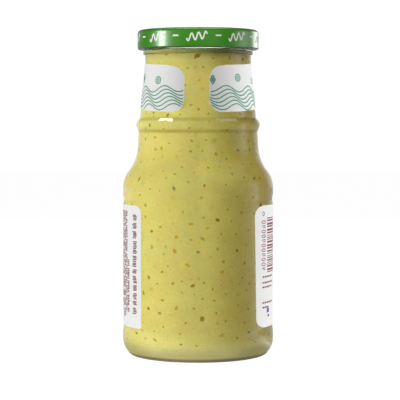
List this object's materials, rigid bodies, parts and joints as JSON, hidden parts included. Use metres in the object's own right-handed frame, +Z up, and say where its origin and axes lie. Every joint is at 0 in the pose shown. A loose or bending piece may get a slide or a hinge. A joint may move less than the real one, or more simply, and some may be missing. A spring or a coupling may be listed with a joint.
{
  "type": "salsa jar",
  "caption": "Clear glass jar of smooth green salsa with a waisted body, a ring round its neck, a twist-off metal lid and two white wrap labels.",
  "frame": {"origin": "middle of the foot, on the surface the jar stands on", "axes": "+Z up the jar's axis; the labels end either side of -Y and their middles face +Y"},
  "size_m": [0.0756, 0.0756, 0.162],
  "materials": {
    "clear_glass": "clear, smooth, glossy",
    "green_salsa": "moist yellow-green puree with dark flecks",
    "green_enamel": "gloss green enamel on tinplate",
    "seal_compound": "smooth off-white sealing compound",
    "white_label": "satin white label stock"
  },
  "bodies": {
    "root": {"glass_jar": "clear_glass", "salsa": "green_salsa", "lid": "green_enamel", "lid_seal": "seal_compound", "neck_band": "white_label", "body_label": "white_label"}
  },
  "joints": []
}
